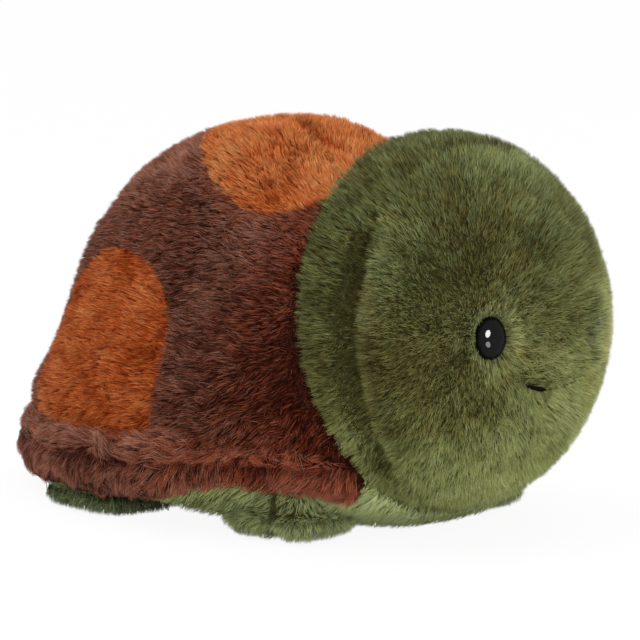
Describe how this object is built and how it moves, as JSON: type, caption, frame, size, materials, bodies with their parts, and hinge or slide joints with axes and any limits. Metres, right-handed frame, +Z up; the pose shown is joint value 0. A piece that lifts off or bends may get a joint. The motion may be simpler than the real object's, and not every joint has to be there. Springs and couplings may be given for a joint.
{
  "type": "plush turtle",
  "caption": "Stuffed plush turtle lying on its belly: round head on a soft neck band, domed shell with inset spots and a puffy rim, flat belly and stub feet that twist a little.",
  "frame": {"origin": "centre of the bounding box's bottom face, on the floor under the middle of the toy", "axes": "+X the way the turtle looks, along its length; +Y its left; +Z up; -Z towards the floor, the way the front right sole faces"},
  "size_m": [0.319, 0.1982, 0.1744],
  "materials": {
    "plush_green": "short dense plush, mottled olive green",
    "plush_brown": "short dense plush, dark reddish brown",
    "plush_orange": "short dense plush, burnt orange",
    "fibre_fill": "loose white polyester fibre",
    "eye_black": "polished black moulding",
    "washer_plastic": "plain moulded",
    "mouth_thread": "thick black embroidery thread",
    "closing_thread": "green sewing thread"
  },
  "bodies": {
    "body": {"head_cover": "plush_green", "head_stuffing": "fibre_fill", "neck_band": "plush_green", "eye_right": "eye_black", "eye_left": "eye_black", "eye_washer_right": "washer_plastic", "eye_washer_left": "washer_plastic", "mouth_stitch": "mouth_thread", "shell_cover": "plush_brown", "shell_rim": "plush_brown", "spot_top": "plush_orange", "spot_right": "plush_orange", "spot_left": "plush_orange", "belly_panel": "plush_green", "closing_thread": "closing_thread", "body_stuffing": "fibre_fill"},
    "foot_front_right": {"foot_front_right_cover": "plush_green", "foot_front_right_stuffing": "fibre_fill"},
    "foot_front_left": {"foot_front_left_cover": "plush_green", "foot_front_left_stuffing": "fibre_fill"},
    "foot_rear_right": {"foot_rear_right_cover": "plush_green", "foot_rear_right_stuffing": "fibre_fill"},
    "foot_rear_left": {"foot_rear_left_cover": "plush_green", "foot_rear_left_stuffing": "fibre_fill"}
  },
  "joints": [
    {"name": "foot_front_right_twist", "type": "hinge", "parent": "body", "child": "foot_front_right", "pos_m": [0.0535, -0.052, 0], "axis": [0, 0, -1], "range_deg": [-12, 12], "stiffness_Nm_per_rad": 0.05},
    {"name": "foot_front_left_twist", "type": "hinge", "parent": "body", "child": "foot_front_left", "pos_m": [0.0535, 0.052, 0], "axis": [0, 0, 1], "range_deg": [-12, 12], "stiffness_Nm_per_rad": 0.05},
    {"name": "foot_rear_right_twist", "type": "hinge", "parent": "body", "child": "foot_rear_right", "pos_m": [-0.047, -0.067, 0], "axis": [0, 0, -1], "range_deg": [-12, 12], "stiffness_Nm_per_rad": 0.05},
    {"name": "foot_rear_left_twist", "type": "hinge", "parent": "body", "child": "foot_rear_left", "pos_m": [-0.047, 0.067, 0], "axis": [0, 0, 1], "range_deg": [-12, 12], "stiffness_Nm_per_rad": 0.05}
  ]
}
